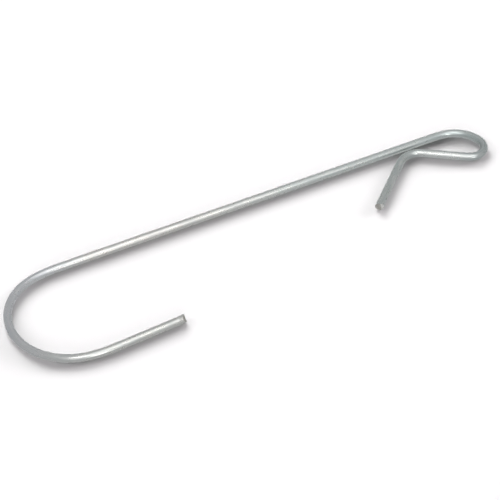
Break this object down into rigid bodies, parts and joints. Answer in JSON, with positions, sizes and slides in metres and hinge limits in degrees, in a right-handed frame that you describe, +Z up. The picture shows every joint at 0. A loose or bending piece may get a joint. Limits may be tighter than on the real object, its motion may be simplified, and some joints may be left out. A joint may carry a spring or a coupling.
{
  "type": "hooked wire tent stake",
  "caption": "Flat hook stake of bent round wire: a wide round hook at one end, a nearly closed teardrop eye at the other, with the wire's end splayed out as a short tail.",
  "frame": {"origin": "on the surface that the stake lies on, at the middle of its outline", "axes": "+X along the straight shank from the hook to the eye, +Z up out of the plane of the bends; the hook's leg, the eye and the tail are on the -Y side of the shank"},
  "size_m": [0.2628, 0.0634, 0.004],
  "materials": {
    "galvanised_wire": "drawn round steel wire with a satin zinc coating, bare cut ends"
  },
  "bodies": {
    "root": {"bent_wire": "galvanised_wire"}
  },
  "joints": []
}
